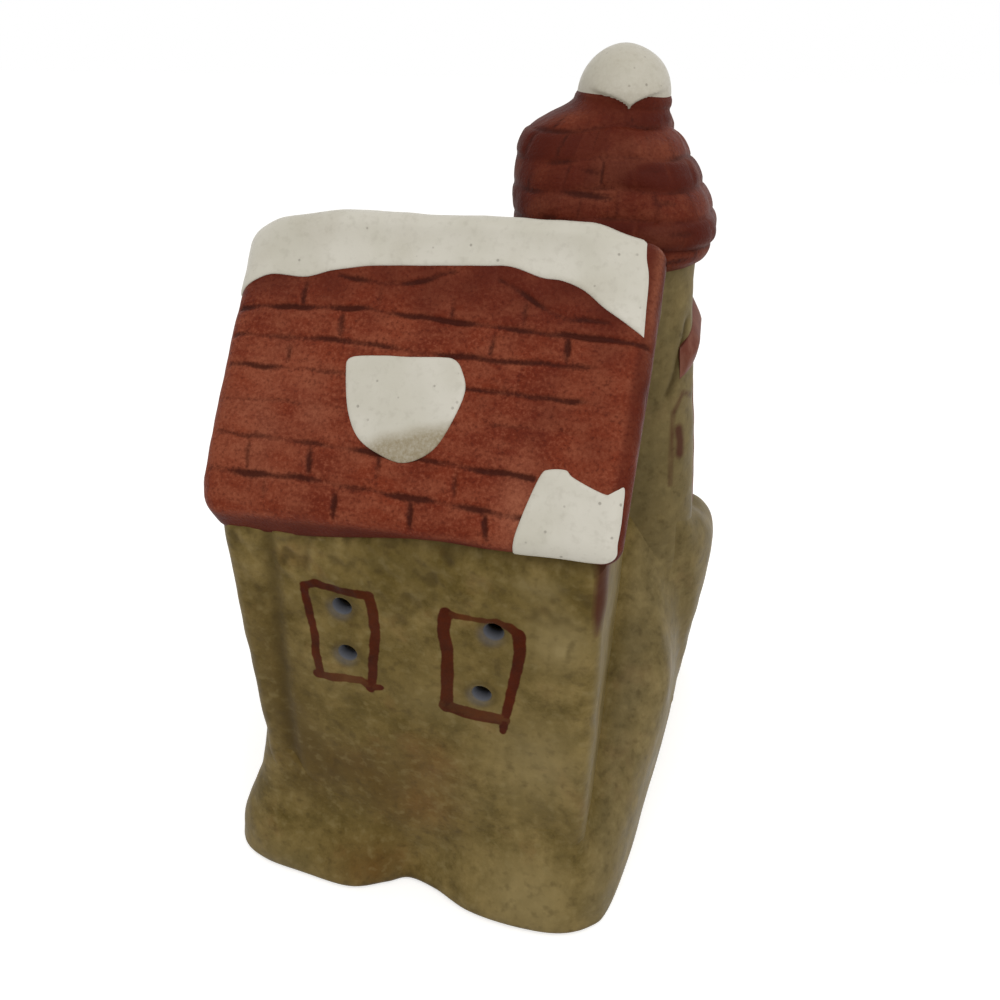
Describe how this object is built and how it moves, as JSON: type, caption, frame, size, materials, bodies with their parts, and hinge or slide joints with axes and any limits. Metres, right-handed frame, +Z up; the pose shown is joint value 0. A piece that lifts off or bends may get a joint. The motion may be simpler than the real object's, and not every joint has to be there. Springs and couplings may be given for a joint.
{
  "type": "ceramic christmas village house",
  "caption": "Glazed ceramic village house with a snow-covered tiled gable roof, a round-capped tower, drilled window holes and a plug-in light unit.",
  "frame": {"origin": "centre of the base's outline box, on the plane the foot stands on", "axes": "+Z up; -Y toward the windowed front wall; +X toward the side with the door, the ramp and the tower's free flank"},
  "size_m": [0.091, 0.09, 0.1433],
  "materials": {
    "khaki_glaze": "mottled khaki glaze, semi-gloss",
    "tile_red": "brushed terracotta red over incised tiles, satin",
    "trim_red": "brushed dusty red, satin",
    "snow_white": "white glaze with pinholes, semi-gloss",
    "lamp_plastic": "white moulded, matte",
    "clear_silicone": "milky, soft",
    "frosted_plastic": "frosted, warm white",
    "led_epoxy": "clear, warm",
    "tinned_steel": "bright",
    "board_laminate": "green lacquer",
    "switch_plastic": "black, matte"
  },
  "bodies": {
    "house": {"base_mound": "khaki_glaze", "house_walls": "khaki_glaze", "gable_roof": "tile_red", "ridge_snow": "snow_white", "roof_snow_patch": "snow_white", "eave_snow_patch": "snow_white", "tower_walls": "khaki_glaze", "tower_roof": "tile_red", "snowball_finial": "snow_white", "snow_ramp": "khaki_glaze", "door_panel": "trim_red", "door_hood": "trim_red"},
    "lamp": {"lamp_housing": "lamp_plastic", "grip_ring": "clear_silicone", "diffuser_dome": "frosted_plastic", "led": "led_epoxy", "led_leads": "tinned_steel", "circuit_board": "board_laminate", "board_screws": "tinned_steel", "coin_cell": "tinned_steel", "plus_contact": "tinned_steel", "switch_body": "switch_plastic"},
    "switch": {"switch_slider": "switch_plastic"},
    "battery_door": {"battery_door": "lamp_plastic", "minus_contact": "tinned_steel", "door_screw": "tinned_steel"}
  },
  "joints": [
    {"name": "lamp_pull", "type": "slide", "parent": "house", "child": "lamp", "axis": [0, 0, -1], "range_m": [0, 0.045]},
    {"name": "switch_slide", "type": "slide", "parent": "lamp", "child": "switch", "axis": [0, 1, 0], "range_m": [0, 0.003]},
    {"name": "door_lift", "type": "slide", "parent": "lamp", "child": "battery_door", "axis": [0, 0, -1], "range_m": [0, 0.012]}
  ]
}
